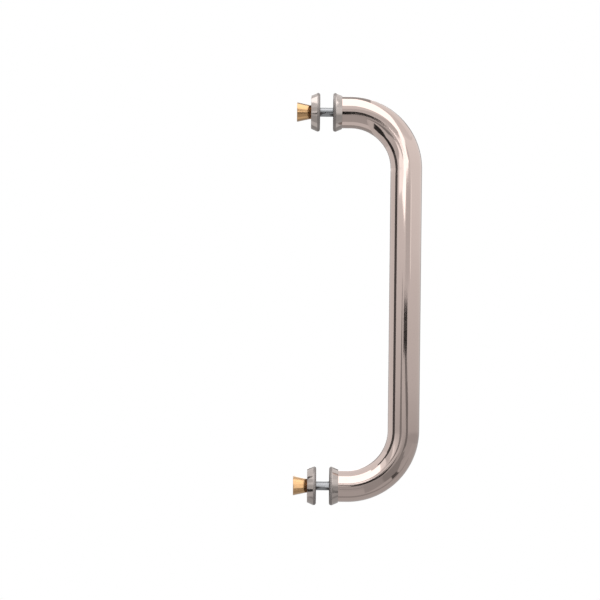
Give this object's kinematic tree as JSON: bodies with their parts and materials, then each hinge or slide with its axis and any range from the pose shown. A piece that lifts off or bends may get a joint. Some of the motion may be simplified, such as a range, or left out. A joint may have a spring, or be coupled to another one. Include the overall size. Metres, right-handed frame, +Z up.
{
  "type": "glass door handle",
  "caption": "Polished tubular D pull handle for a glass door, with dished roses, double-ended studs and flared brass cones that clamp it through holes in the pane.",
  "frame": {"origin": "midway between the two studs, on the plane where the inner roses meet the glass", "axes": "+Z up along the grip, +X from the glass out to the grip, so the studs point along -X"},
  "size_m": [0.1009, 0.031, 0.331],
  "materials": {
    "polished_steel": "polished",
    "plug_steel": "satin",
    "zinc_steel": "gloss",
    "brass": "polished"
  },
  "bodies": {
    "root": {"handle_tube": "polished_steel", "upper_end_plug": "plug_steel", "lower_end_plug": "plug_steel", "upper_inner_rose": "polished_steel", "lower_inner_rose": "polished_steel", "upper_stud": "zinc_steel", "lower_stud": "zinc_steel", "upper_outer_rose": "polished_steel", "lower_outer_rose": "polished_steel", "upper_cone": "brass", "lower_cone": "brass"}
  },
  "joints": []
}
